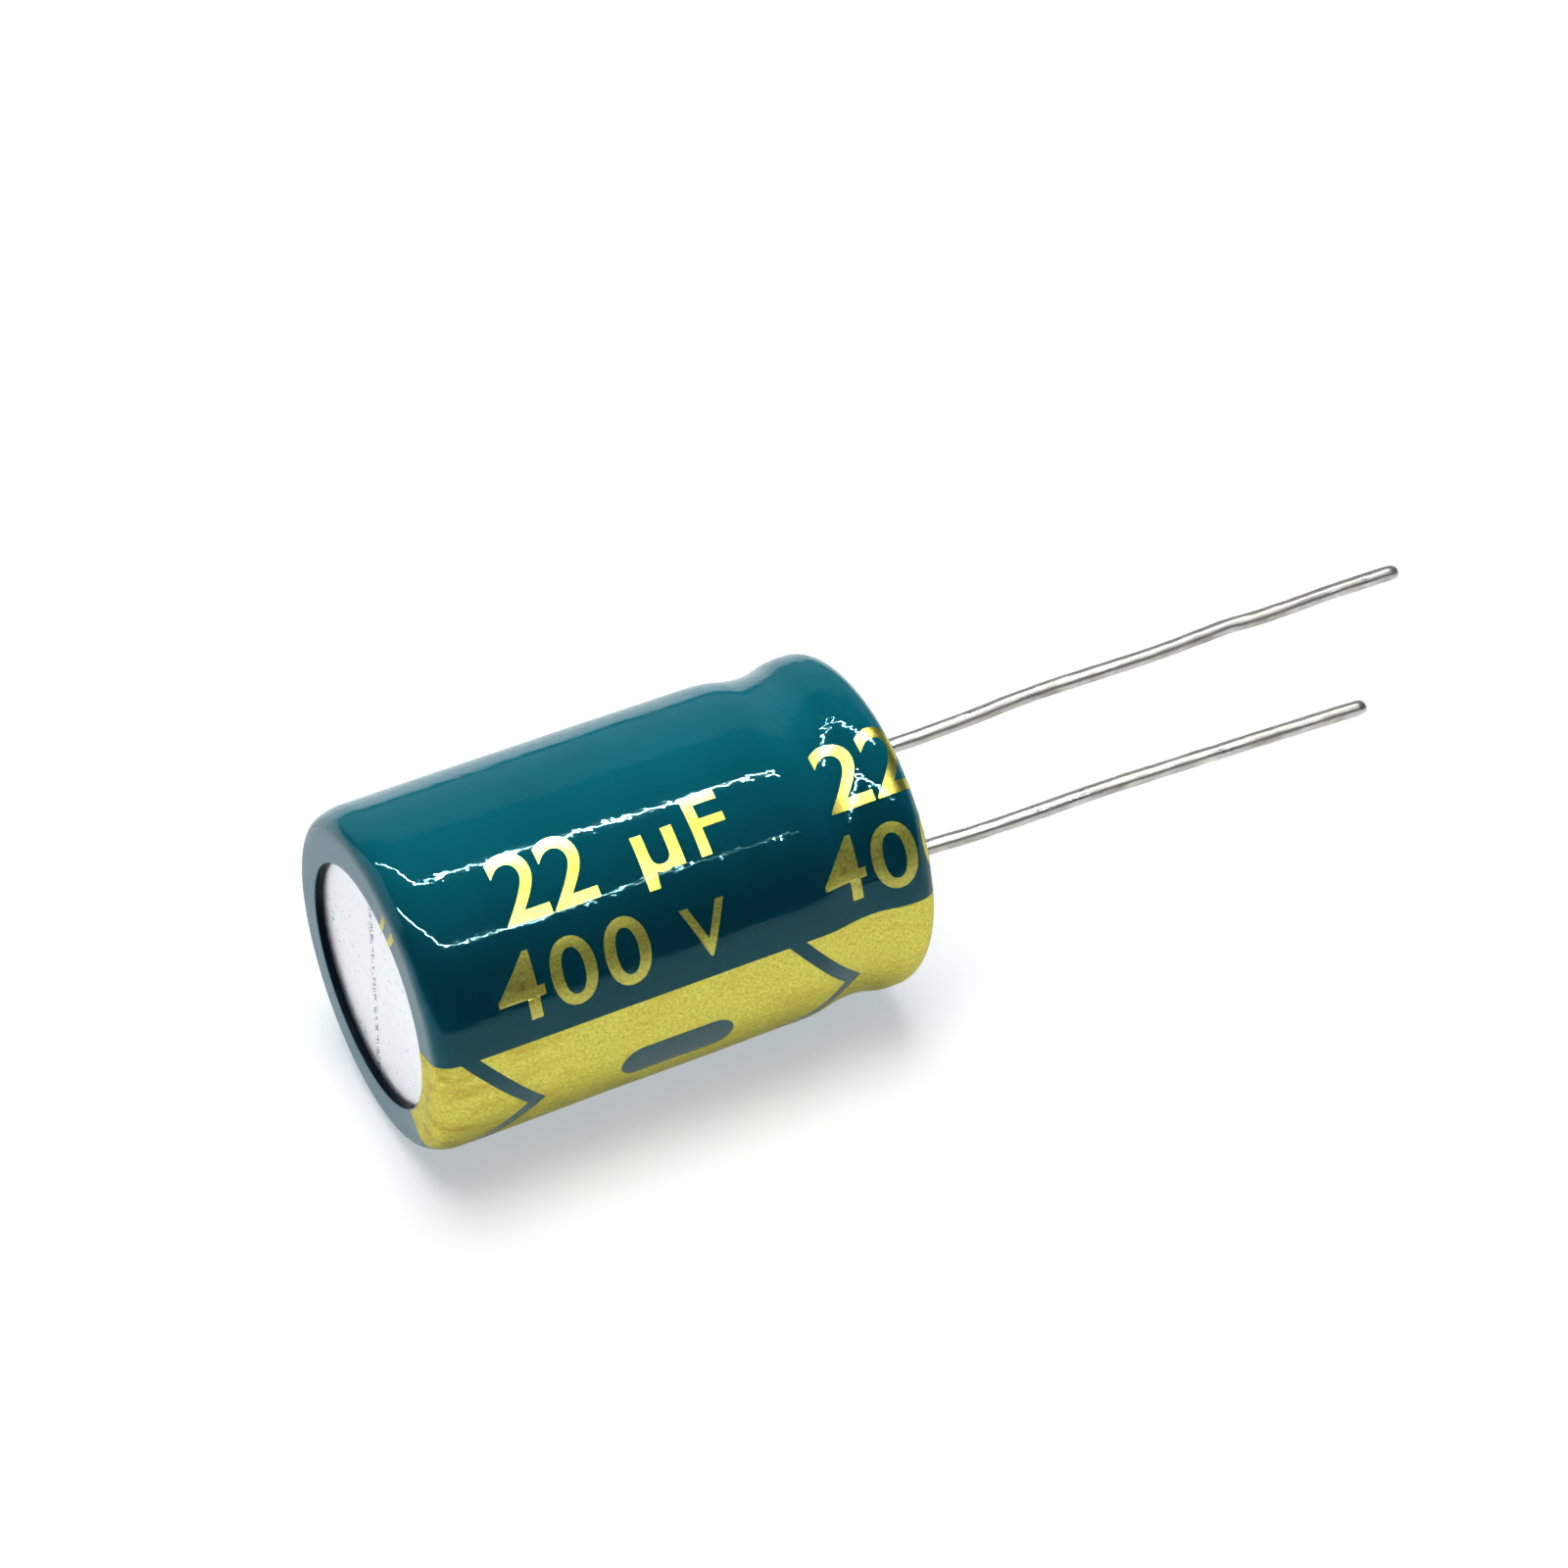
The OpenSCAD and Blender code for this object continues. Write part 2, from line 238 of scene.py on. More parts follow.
def place_noise(tree, scale, detail=3.0, roughness=0.5, stretch=(1, 1, 1)):
    """Noise in millimetres of the object's own frame."""
    place = tree.nodes.new("ShaderNodeTexCoord")
    mapping = tree.nodes.new("ShaderNodeMapping")
    mapping.inputs["Scale"].default_value = [s / MM for s in stretch]
    tree.links.new(place.outputs["Object"], mapping.inputs["Vector"])
    node = add(tree, "ShaderNodeTexNoise", Scale=scale, Detail=detail, Roughness=roughness)
    tree.links.new(mapping.outputs["Vector"], node.inputs["Vector"])
    return node.outputs["Fac"]


def along(tree, stops):
    """Grey that follows the height in millimetres, from stops of (height, grey)."""
    place = tree.nodes.new("ShaderNodeTexCoord")
    split = tree.nodes.new("ShaderNodeSeparateXYZ")
    tree.links.new(place.outputs["Object"], split.inputs[0])
    share = add(tree, "ShaderNodeMath", operation="MULTIPLY")
    share.inputs[1].default_value = 1 / (BODY_LEN * MM)
    tree.links.new(split.outputs["Z"], share.inputs[0])
    return ramp(tree, share.outputs[0], [(z / BODY_LEN, grey) for z, grey in stops])


def near_line(tree, azimuth, reach):
    """Grey that falls from 1 on a line through the axis at an azimuth to 0 at a reach from it."""
    place = tree.nodes.new("ShaderNodeTexCoord")
    mapping = tree.nodes.new("ShaderNodeMapping")
    mapping.inputs["Rotation"].default_value = (0, 0, math.radians(-azimuth))
    mapping.inputs["Scale"].default_value = (1 / MM, 1 / MM, 1 / MM)
    tree.links.new(place.outputs["Object"], mapping.inputs["Vector"])
    split = tree.nodes.new("ShaderNodeSeparateXYZ")
    tree.links.new(mapping.outputs["Vector"], split.inputs[0])
    away = add(tree, "ShaderNodeMath", operation="ABSOLUTE")
    tree.links.new(split.outputs["Y"], away.inputs[0])
    return ramp(tree, away.outputs[0], [(0.0, 1.0), (reach, 0.0)])


def product(tree, a, b):
    """Two greys multiplied."""
    node = add(tree, "ShaderNodeMath", operation="MULTIPLY")
    tree.links.new(a, node.inputs[0])
    tree.links.new(b, node.inputs[1])
    return node.outputs[0]


def blend(tree, factor, a, b):
    """Colour a, or b where the factor is 1; each is a socket or a colour."""
    node = add(tree, "ShaderNodeMix", data_type="RGBA")
    tree.links.new(factor, node.inputs["Factor"])
    for value, socket in ((a, node.inputs[6]), (b, node.inputs[7])):
        if isinstance(value, tuple):
            socket.default_value = (*value, 1)
        else:
            tree.links.new(value, socket)
    return node.outputs[2]


def bump(tree, shader, heights):
    """Chains bumps of (height socket, strength, distance in millimetres) into a shader's normal."""
    last = None
    for height, strength, distance in heights:
        node = add(tree, "ShaderNodeBump", Strength=strength, Distance=distance * MM)
        tree.links.new(height, node.inputs["Height"])
        if last is not None:
            tree.links.new(last, node.inputs["Normal"])
        last = node.outputs["Normal"]
    tree.links.new(last, shader.inputs["Normal"])


# Materials

def sleeve_material():
    """Glossy teal shrink film, a little uneven, with a dull lip over the closed end."""
    mat, tree, shader = new_material("teal_film")
    tone = place_noise(tree, 0.35, 4.0)
    colour = ramp(tree, tone, [(0.3, (0.002, 0.156, 0.208)), (0.7, (0.003, 0.182, 0.242))])
    tree.links.new(colour, shader.inputs["Base Color"])
    # The lip over the closed end is smoother than the wall, and duller
    wall = along(tree, [(0.0, 0.0), (0.25, 0.0), (1.1, 1.0)])
    dull = along(tree, [(0.0, 0.34), (0.06, 0.28), (0.3, 0.035)])
    tree.links.new(dull, shader.inputs["Roughness"])
    shader.inputs["IOR"].default_value = 1.5
    shader.inputs["Specular Tint"].default_value = (0.42, 0.95, 1.0, 1)
    # The lip has a hazy bloom
    haze = along(tree, [(0.0, 0.46), (0.04, 0.33), (0.16, 0.0)])
    tree.links.new(haze, shader.inputs["Coat Weight"])
    shader.inputs["Coat IOR"].default_value = 1.9
    shader.inputs["Coat Roughness"].default_value = 0.4
    # Shrinking leaves short ridges along the body where the film is drawn into the bead
    drawn_in = along(tree, [(15.6, 0.0), (16.6, 1.0), (19.2, 1.0), (19.7, 0.2)])
    ridges = place_noise(tree, 7.0, 0.0, 0.5, (1, 1, 0.06))
    bump(tree, shader, [
        (product(tree, wall, place_noise(tree, 1.1, 2.0, 0.5, (1, 1, 0.6))), 1.0, 0.011),
        (product(tree, wall, place_noise(tree, 4.0, 1.0, 0.5, (1, 1, 0.7))), 1.0, 0.0055),
        (product(tree, drawn_in, ridges), 1.0, 0.007),
    ])
    return mat


def edge_shade_material():
    """Cut edge of the film, painted near black as the shade in the crevice between the lip and the can;
    rough, and it reflects little.
    """
    mat, tree, shader = new_material("film_edge_painted_shade")
    tone = place_noise(tree, 3.0, 3.0)
    colour = ramp(tree, tone, [(0.3, (0.001, 0.005, 0.014)), (0.7, (0.002, 0.011, 0.024))])
    tree.links.new(colour, shader.inputs["Base Color"])
    shader.inputs["Roughness"].default_value = 0.5
    shader.inputs["Specular IOR Level"].default_value = 0.06
    bump(tree, shader, [(place_noise(tree, 6.0, 3.0), 0.6, 0.02)])
    return mat


def ink_material(name, coat):
    """Metallic gold ink with a fine speckle, under a share of clear varnish."""
    mat, tree, shader = new_material(name)
    shader.inputs["Coat Weight"].default_value = coat
    shader.inputs["Coat Roughness"].default_value = 0.08
    shader.inputs["Specular Tint"].default_value = (0.84, 0.82, 0.62, 1)
    grain = place_noise(tree, 9.0, 4.0, 0.7)
    colour = ramp(tree, grain, [
        (0.32, (0.47, 0.425, 0.065)), (0.5, (0.67, 0.62, 0.11)), (0.68, (0.80, 0.755, 0.17))])
    # Smears of browner ink that run along the body, most of them by the closed end
    smears = ramp(tree, place_noise(tree, 1.6, 4.0, 0.6, (1, 1, 0.35)), [(0.46, 0.0), (0.66, 1.0)])
    by_end = along(tree, [(0.0, 0.75), (2.5, 0.6), (6.0, 0.2), (20.0, 0.25)])
    colour = blend(tree, product(tree, smears, by_end), colour, (0.46, 0.31, 0.04))
    tree.links.new(colour, shader.inputs["Base Color"])
    shader.inputs["Metallic"].default_value = 1.0
    shader.inputs["Roughness"].default_value = 0.34
    bump(tree, shader, [
        (place_noise(tree, 0.9, 2.0), 0.35, 0.02),
        (place_noise(tree, 14.0, 3.0), 0.4, 0.006),
    ])
    return mat


def metal_material(name, low, high, roughness, grain, bumps):
    """Bare metal whose tone wanders between two greys, with its own grain."""
    mat, tree, shader = new_material(name)
    colour = ramp(tree, place_noise(tree, grain, 4.0), [(0.3, low), (0.7, high)])
    tree.links.new(colour, shader.inputs["Base Color"])
    shader.inputs["Metallic"].default_value = 1.0
    shader.inputs["Roughness"].default_value = roughness
    bump(tree, shader, [(place_noise(tree, *noise_args), strength, distance)
                        for noise_args, strength, distance in bumps])
    return mat


def can_material():
    """Bright aluminium with specks about; painted shade darkens one of the vent's score grooves in a
    broken line and the other faintly.
    """
    mat, tree, shader = new_material("bright_aluminium")
    tone = place_noise(tree, 0.4, 4.0)
    colour = ramp(tree, tone, [(0.3, (0.93, 0.94, 0.95)), (0.7, (0.98, 0.98, 0.98))])
    specks = ramp(tree, place_noise(tree, 4.0, 4.0, 0.65), [(0.60, 0.0), (0.68, 0.6)])
    colour = blend(tree, specks, colour, (0.35, 0.36, 0.38))
    # Painted shade in the vent's score grooves on the end face: a broken dark line along one groove
    groove_shade = ramp(tree, place_noise(tree, 6.5, 2.0, 0.6), [(0.47, 0.0), (0.56, 1.0)])
    groove_shade = product(tree, groove_shade, near_line(tree, SCORE_TURN + 90, 0.22))
    by_end = along(tree, [(0.0, 1.0), (1.0, 1.0), (1.2, 0.0)])
    colour = blend(tree, product(tree, groove_shade, by_end), colour, (0.10, 0.10, 0.11))
    # Fainter painted shade along the other score groove
    faint = ramp(tree, place_noise(tree, 2.0, 2.0, 0.5), [(0.35, 0.1), (0.6, 0.7)])
    faint = product(tree, faint, near_line(tree, SCORE_TURN, 0.07))
    colour = blend(tree, product(tree, faint, by_end), colour, (0.25, 0.25, 0.26))
    tree.links.new(colour, shader.inputs["Base Color"])
    shader.inputs["Metallic"].default_value = 1.0
    shader.inputs["Roughness"].default_value = 0.3
    bump(tree, shader, [
        (place_noise(tree, 1.2, 2.0), 0.3, 0.03),
        (place_noise(tree, 7.0, 4.0), 0.3, 0.01),
    ])
    return mat


def wire_material():
    """Tinned wire with long draw marks, dull patches and nicks."""
    mat, tree, shader = new_material("tinned_wire")
    patches = place_noise(tree, 1.5, 4.0, 0.6, (1, 1, 0.5))
    colour = ramp(tree, patches, [
        (0.32, (0.38, 0.36, 0.31)), (0.5, (0.57, 0.55, 0.50)), (0.68, (0.72, 0.70, 0.65))])
    tree.links.new(colour, shader.inputs["Base Color"])
    shader.inputs["Metallic"].default_value = 1.0
    tree.links.new(ramp(tree, patches, [(0.35, 0.40), (0.65, 0.26)]), shader.inputs["Roughness"])
    bump(tree, shader, [
        (place_noise(tree, 9.0, 2.0, 0.5, (1, 1, 0.1)), 0.6, 0.006),
        (place_noise(tree, 3.5, 3.0, 0.6, (1, 1, 0.5)), 0.7, 0.008),
    ])
    return mat


def plain_material(name, low, high, roughness, grain, bump_scale):
    """Matt stuff whose tone wanders between two colours."""
    mat, tree, shader = new_material(name)
    colour = ramp(tree, place_noise(tree, grain, 4.0), [(0.3, low), (0.7, high)])
    tree.links.new(colour, shader.inputs["Base Color"])
    shader.inputs["Roughness"].default_value = roughness
    bump(tree, shader, [(place_noise(tree, bump_scale, 3.0), 0.4, 0.02)])
    return mat


def give(names, mat):
    """Makes a material the only one of these nodes."""
    for name in names:
        NODES[name].data.materials.clear()
        NODES[name].data.materials.append(mat)


# Outline of the sleeve

def arc(x, y, r, a0, a1, steps=ARC_STEPS):
    """Points of an arc about (x, y), from angle a0 to angle a1."""
    turns = [math.radians(a0 + (a1 - a0) * i / steps) for i in range(steps + 1)]
    return [(x + r * math.cos(t), y + r * math.sin(t)) for t in turns]


def half_dip(r, depth, half, z, side):
    """Shoulder and root of one half of a dip, going up; side is -1 below its middle and 1 above."""
    radius = (half * half + depth * depth) / (4 * depth)
    turn = math.degrees(math.asin(half / (2 * radius)))
    shoulder = arc(r - radius, z + side * half, radius, 0, -side * turn)
    root = arc(r - depth + radius, z, radius, 180 - side * turn, 180)
    return shoulder + root[1:] if side < 0 else (shoulder + root[1:])[::-1]


def foot():
    """Rounded edge by the closed end: a small arc that eases into the wall by a wide one."""
    swing = math.radians(FOOT_EASE_TURN)
    spare = FOOT_EASE_R - FOOT_R
    middle_r = BODY_R - FOOT_EASE_R + spare * math.cos(swing)
    ease_z = FOOT_R + spare * math.sin(swing)
    return (
        arc(middle_r, FOOT_R, FOOT_R, -90, -FOOT_EASE_TURN)
        + arc(BODY_R - FOOT_EASE_R, ease_z, FOOT_EASE_R, -FOOT_EASE_TURN, 0)[1:]
    )


def sleeve_outline():
    """Outer surface of the sleeve as (r, z), from its lip's inner edge to its rim lip's."""
    bead_z = BODY_LEN - BEAD_FROM_END
    return (
        [(BODY_R - LIP_W + LIP_ROUND, 0.0)]
        + foot()
        + half_dip(BODY_R, DIP_DEPTH, DIP_BELOW, bead_z, -1)
        + half_dip(BODY_R, DIP_DEPTH, DIP_ABOVE, bead_z, 1)[1:]
        + arc(BODY_R - EDGE_R, BODY_LEN - EDGE_R, EDGE_R, 0, 90)
        + [(BODY_R - RIM_LIP_W + LIP_ROUND, BODY_LEN)]
    )


def ripple(a, z):
    """How far the shrunk film stands off a true cylinder at an angle and a height."""
    place = Vector((math.cos(a) * RIPPLE_TURNS, math.sin(a) * RIPPLE_TURNS, z * RIPPLE_ALONG))
    return RIPPLE * noise.noise(place)


class Surface:
    """Outer surface of the sleeve, run by length along the outline, which equals z on the wall."""

    def __init__(self):
        points = np.array(sleeve_outline())
        lengths = np.concatenate([[0], np.cumsum(np.hypot(*np.diff(points, axis=0).T))])
        wall = len(foot())
        self.s = lengths - lengths[wall] + points[wall, 1]
        self.r, self.z = points[:, 0], points[:, 1]

    def first(self):
        return self.s[0]

    def last(self):
        return self.s[-1]

    def at(self, s, lift=0.0):
        """(r, z) at a length along the outline, lifted off the surface."""
        r, z = np.interp(s, self.s, self.r), np.interp(s, self.s, self.z)
        above, below = s + SLOPE_REACH, s - SLOPE_REACH
        dr = np.interp(above, self.s, self.r) - np.interp(below, self.s, self.r)
        dz = np.interp(above, self.s, self.z) - np.interp(below, self.s, self.z)
        size = math.hypot(dr, dz) or 1.0
        return r + lift * dz / size, z - lift * dr / size

    def point(self, angle, s, lift=0.0):
        """Place in metres at an angle round the body, in degrees."""
        r, z = self.at(s, lift)
        a = math.radians(angle)
        r += ripple(a, z)
        return Vector((r * math.cos(a), r * math.sin(a), z)) * MM


SURFACE = Surface()


def new_object(name, mesh, mat):
    """Object in the scene with a mesh and its material."""
    mesh.materials.append(mat)
    obj = bpy.data.objects.new(name, mesh)
    bpy.context.scene.collection.objects.link(obj)
    return obj


def looped(name, rings, mat, closed):
    """Smooth mesh through rings of places that have as many points each.

    The last ring joins the first where closed, or else both ends are filled.
    """
    mesh = bpy.data.meshes.new(name)
    count = len(rings[0])
    faces = []
    for i in range(len(rings) if closed else len(rings) - 1):
        j = (i + 1) % len(rings)
        for k in range(count):
            m = (k + 1) % count
            faces.append((i * count + k, j * count + k, j * count + m, i * count + m))
    if not closed:
        faces.append(tuple(range(count)))
        faces.append(tuple((len(rings) - 1) * count + k for k in reversed(range(count))))
    mesh.from_pydata([place for ring in rings for place in ring], [], faces)
    mesh.update()
    for face in mesh.polygons:
        face.use_smooth = True
    return new_object(name, mesh, mat)


def even(points, step):
    """The open outline with points added so that none lie further apart than a step."""
    out = [points[0]]
    for a, b in zip(points, points[1:]):
        parts = max(1, math.ceil(math.dist(a, b) / step))
        run = np.array(b) - np.array(a)
        out += [tuple(np.array(a) + run * i / parts) for i in range(1, parts + 1)]
    return out


def sleeve_piece(mat, shade_edge_mat):
    """Shrink film with its rippled wall and rounded lips, and a cut edge at the closed end that is
    painted dark as shade.
    """
    outer = even(sleeve_outline(), OUTLINE_STEP)
    lip_r, rim_r = BODY_R - LIP_W, BODY_R - RIM_LIP_W
    top = arc(rim_r + LIP_ROUND, BODY_LEN - LIP_ROUND, LIP_ROUND, 90, 180, LIP_STEPS)[1:]
    spans = np.linspace(SURFACE.last(), SURFACE.first(), INNER_POINTS)
    inner = [(rim_r, BODY_LEN - SLEEVE_T)]
    inner += [SURFACE.at(s, -SLEEVE_T) for s in spans]
    inner.append((lip_r, SLEEVE_T))
    bottom = arc(lip_r + LIP_ROUND, LIP_ROUND, LIP_ROUND, 180, 270, LIP_STEPS)[:-1]
    rings = []
    for i in range(ROUND_STEPS):
        a = 2 * math.pi * i / ROUND_STEPS
        side = Vector((math.cos(a), math.sin(a), 0))
        rings.append([(side * (r + ripple(a, z)) + Vector((0, 0, z))) * MM
                      for r, z in outer + top + inner + bottom])
    obj = looped("shrink_sleeve", rings, mat, True)
    obj.data.materials.append(shade_edge_mat)
    # Faces of the cut edge get the painted shade material
    cut_r = (lip_r + LIP_ROUND * LIP_CUT) * MM
    for face in obj.data.polygons:
        if face.center.z < SLEEVE_T * MM and face.center.to_2d().length < cut_r:
            face.material_index = 1
    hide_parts("sleeve")
    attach(obj, "root")


# Print

def flat_mesh(name, loops):
    """Filled flat mesh from closed loops of (across, along); a loop inside another is a hole."""
    curve = bpy.data.curves.new(name, "CURVE")
    curve.dimensions = "2D"
    curve.fill_mode = "BOTH"
    for loop in loops:
        spline = curve.splines.new("POLY")
        spline.points.add(len(loop) - 1)
        for point, (x, y) in zip(spline.points, loop):
            point.co = (x, y, 0, 1)
        spline.use_cyclic_u = True
    return evaluated(name, curve)


def evaluated(name, data):
    """Mesh of a curve or text data-block."""
    obj = bpy.data.objects.new(name, data)
    bpy.context.scene.collection.objects.link(obj)
    bpy.context.view_layer.update()
    mesh = bpy.data.meshes.new_from_object(obj.evaluated_get(bpy.context.evaluated_depsgraph_get()))
    bpy.data.objects.remove(obj)
    bpy.data.batch_remove([data])
    return mesh


def sliced(mesh):
    """Cuts a flat mesh along a grid, so that it can follow the sleeve."""
    bm = bmesh.new()
    bm.from_mesh(mesh)
    bmesh.ops.remove_doubles(bm, verts=bm.verts, dist=MERGE_REACH)
    for axis in (0, 1):
        low = min(v.co[axis] for v in bm.verts)
        high = max(v.co[axis] for v in bm.verts)
        normal = Vector((1, 0, 0)) if axis == 0 else Vector((0, 1, 0))
        for i in range(1, math.ceil((high - low) / PRINT_STEP)):
            cut = normal * (low + i * PRINT_STEP)
            geom = bm.verts[:] + bm.edges[:] + bm.faces[:]
            bmesh.ops.bisect_plane(bm, geom=geom, plane_co=cut, plane_no=normal, dist=CUT_REACH)
    bm.to_mesh(mesh)
    bm.free()
    return mesh


def wrapped(name, mesh, mat, turn=0.0, lift=INK_LIFT):
    """Lays a flat mesh of (across, along) on the sleeve and gives it the ink's thickness."""
    for v in mesh.vertices:
        angle = turn + math.degrees(v.co.x / BODY_R)
        s = min(max(v.co.y, SURFACE.first()), SURFACE.last())
        v.co = SURFACE.point(angle, s, lift)
    mesh.update()
    for face in mesh.polygons:
        face.use_smooth = True
    sides = {}
    for face in mesh.polygons:
        for key in face.edge_keys:
            sides[key] = sides.get(key, 0) + 1
    for edge in mesh.edges:
        edge.use_edge_sharp = sides.get(edge.key, 0) < 2
    obj = new_object(name, mesh, mat)
    thick = obj.modifiers.new("ink", "SOLIDIFY")
    thick.thickness = INK_T * MM
    thick.offset = -1
    return obj


def arrow_line(low, middle):
    """Points of an arrow's limb from edge to edge, through a tip in the middle."""
    half = STRIPE_W / 2
    return [(-half, low), (0, middle), (half, low)]


def stripe_loops():
    """The stripe's fields between its arrows, and its minus sign as a hole."""
    loops = []
    half = STRIPE_W / 2
    below = [(-half, SURFACE.first()), (half, SURFACE.first())]
    tip = ARROW_TIP
    while tip - ARROW_RISE < BODY_LEN:
        edge = arrow_line(tip - ARROW_LIMB - ARROW_RISE, tip - ARROW_LIMB)
        loops.append(below + edge[::-1])
        below = arrow_line(tip - ARROW_RISE, tip)
        tip += MARK_PITCH
    loops.append(below + [(half, SURFACE.last()), (-half, SURFACE.last())])
    reach = (MINUS_LEN - MINUS_W) / 2
    loops.append(arc(0, MINUS_MIDDLE + reach, MINUS_W / 2, 0, 180)
                 + arc(0, MINUS_MIDDLE - reach, MINUS_W / 2, 180, 360))
    return loops


def stripe_piece(mat):
    """Printed band that marks the negative lead."""
    mesh = sliced(flat_mesh("gold_stripe", stripe_loops()))
    obj = wrapped("gold_stripe", mesh, mat, STRIPE_TURN)
    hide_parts("negative_stripe")
    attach(obj, "root")


# Lettering: azimuth of a row's foot, height, and its letters with their start and width
ROWS = [
    (-58.5, 2.6, [("2", 3.74, 1.74), ("2", 5.6, 1.74)]),
    (-59.5, 2.2, [("µ", 9.08, 1.64), ("F", 11.35, 1.35)]),
    (-28.5, 2.45, [("4", 2.6, 1.8), ("0", 4.7, 1.75), ("0", 6.8, 1.75)]),
    (-28.5, 1.95, [("V", 9.87, 1.77)]),
]
LETTER_BOLD = 0.010
# How much further the lip drew in the print that runs under the closed end
LIP_DRIFT = 0.3


def letter_mesh(letter):
    """Flat mesh of a letter in the built-in font, a little bolder."""
    font = bpy.data.curves.new("letter", "FONT")
    font.body = letter
    font.resolution_u = LETTER_STEPS
    font.offset = LETTER_BOLD
    return evaluated("letter", font)


def placed_letter(letter, height, start, width):
    """Flat mesh of a letter that reads along the body, its top towards lower azimuths."""
    tall = max(v.co.y for v in letter_mesh("F").vertices)
    mesh = letter_mesh(letter)
    low = min(v.co.x for v in mesh.vertices)
    wide = max(v.co.x for v in mesh.vertices) - low
    for v in mesh.vertices:
        v.co = (-v.co.y * height / tall, start + (v.co.x - low) * width / wide, 0)
    return mesh


def lettering(mat):
    """Rating that repeats along the body; what runs past an end of the film is cut off."""
    letters = [(azimuth, height, *letter) for azimuth, height, row in ROWS for letter in row]
    for copy in (-1, 0, 1):
        for i, (azimuth, height, letter, start, width) in enumerate(letters):
            drift = LIP_DRIFT if copy < 0 else 0
            mesh = placed_letter(letter, height, start + copy * MARK_PITCH - drift, width)
            bm = bmesh.new()
            bm.from_mesh(mesh)
            for place, normal in ((SURFACE.first(), -1), (SURFACE.last(), 1)):
                geom = bm.verts[:] + bm.edges[:] + bm.faces[:]
                bmesh.ops.bisect_plane(bm, geom=geom, plane_co=(0, place, 0),
                                       plane_no=(0, normal, 0), clear_outer=True, dist=CUT_REACH)
            bm.to_mesh(mesh)
            empty = not bm.faces
            bm.free()
            if empty:
                continue
            obj = wrapped(f"print_{copy + 1}_{i}", sliced(mesh), mat, azimuth)
            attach(obj, "root")


# Leads: places along the body where the wire turns, and how far it has drifted there along X
DRIFTS = {
    "positive_lead": [(21.0, 0.04), (23.4, 0.11), (26.2, 0.06), (28.9, -0.05), (31.8, 0.0), (34.4, 0.05),
                      (36.6, 0.0), (38.0, -0.04), (38.9, 0.025), (42.6, 0.03), (45.8, 0.09)],
    "negative_lead": [(21.4, -0.03), (23.8, 0.09), (26.0, 0.13), (29.3, 0.15), (32.1, 0.25), (35.4, 0.38),
                      (38.3, 0.5), (41.0, 0.63)],
}
# How far nicks and dents move the wire's surface
NICK = 0.012
# How far the tip was snipped below its solid's end
SNIPPED = {"positive_lead": 0.0, "negative_lead": 0.4}
# Snipped tip: depth below its end and share of the wire's radius there
SNIP = [(0.3, 1.0), (0.07, 0.92), (0.0, 0.6)]
# The cutter pinched the tip over this length to this share of its thickness
PINCH_LEN = 0.35
PINCH = 0.7


def smooth_path(points, step):
    """Places a step apart on a curve through points of (height, drift)."""
    heights = [z for z, _ in points]
    drifts = [x for _, x in points]
    slopes = np.gradient(drifts, heights)
    out = []
    for z in np.arange(heights[0], heights[-1], step):
        i = min(int(np.searchsorted(heights, z, side="right")) - 1, len(heights) - 2)
        span = heights[i + 1] - heights[i]
        t = (z - heights[i]) / span
        out.append((z, (2 * t**3 - 3 * t**2 + 1) * drifts[i] + (t**3 - 2 * t**2 + t) * span * slopes[i]
                    + (3 * t**2 - 2 * t**3) * drifts[i + 1] + (t**3 - t**2) * span * slopes[i + 1]))
    return out


def lead_piece(node, mat):
    """Wire with its swollen weld, its small waves and its snipped tip, in place of the plain one."""
    low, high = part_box(node)
    foot, tip = low.z / MM, high.z / MM - SNIPPED[node]
    weld_r = (high.y - low.y) / 2 / MM
    middle = math.copysign(LEAD_PITCH / 2, low.x + high.x)
    swell = [(foot, weld_r), (foot + WELD_LEN, weld_r), (foot + WELD_LEN + WELD_CONE, WIRE_R)]
    snip = [(tip - depth, WIRE_R * share) for depth, share in SNIP]
    heights, radii = zip(*(swell + snip))
    path = smooth_path([(foot, 0.0), (BODY_LEN, 0.0)] + DRIFTS[node], WIRE_STEP)
    path = [(z, x) for z, x in path if z < tip] + [(tip, np.interp(tip, *zip(*path)))]
    rings = []
    for z, x in path:
        r = np.interp(z, heights, radii)
        pinch = np.interp(z, [tip - PINCH_LEN, tip], [1.0, PINCH])
        ring = []
        for k in range(WIRE_SIDES):
            a = 2 * math.pi * k / WIRE_SIDES
            side = Vector((math.cos(a), math.sin(a), 0))
            rough = NICK * noise.noise(side * 0.8 + Vector((middle, 0, z * 1.1)))
            rough += NICK * 0.6 * noise.noise(side * 1.5 + Vector((0, middle, z * 3.1)))
            place = side * (r + rough)
            ring.append((Vector((middle + x, 0, z)) + Vector((place.x, place.y * pinch, 0))) * MM)
        rings.append(ring)
    obj = looped(node.replace("lead", "wire"), rings, mat, False)
    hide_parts(node)
    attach(obj, "root")


# Stage and light

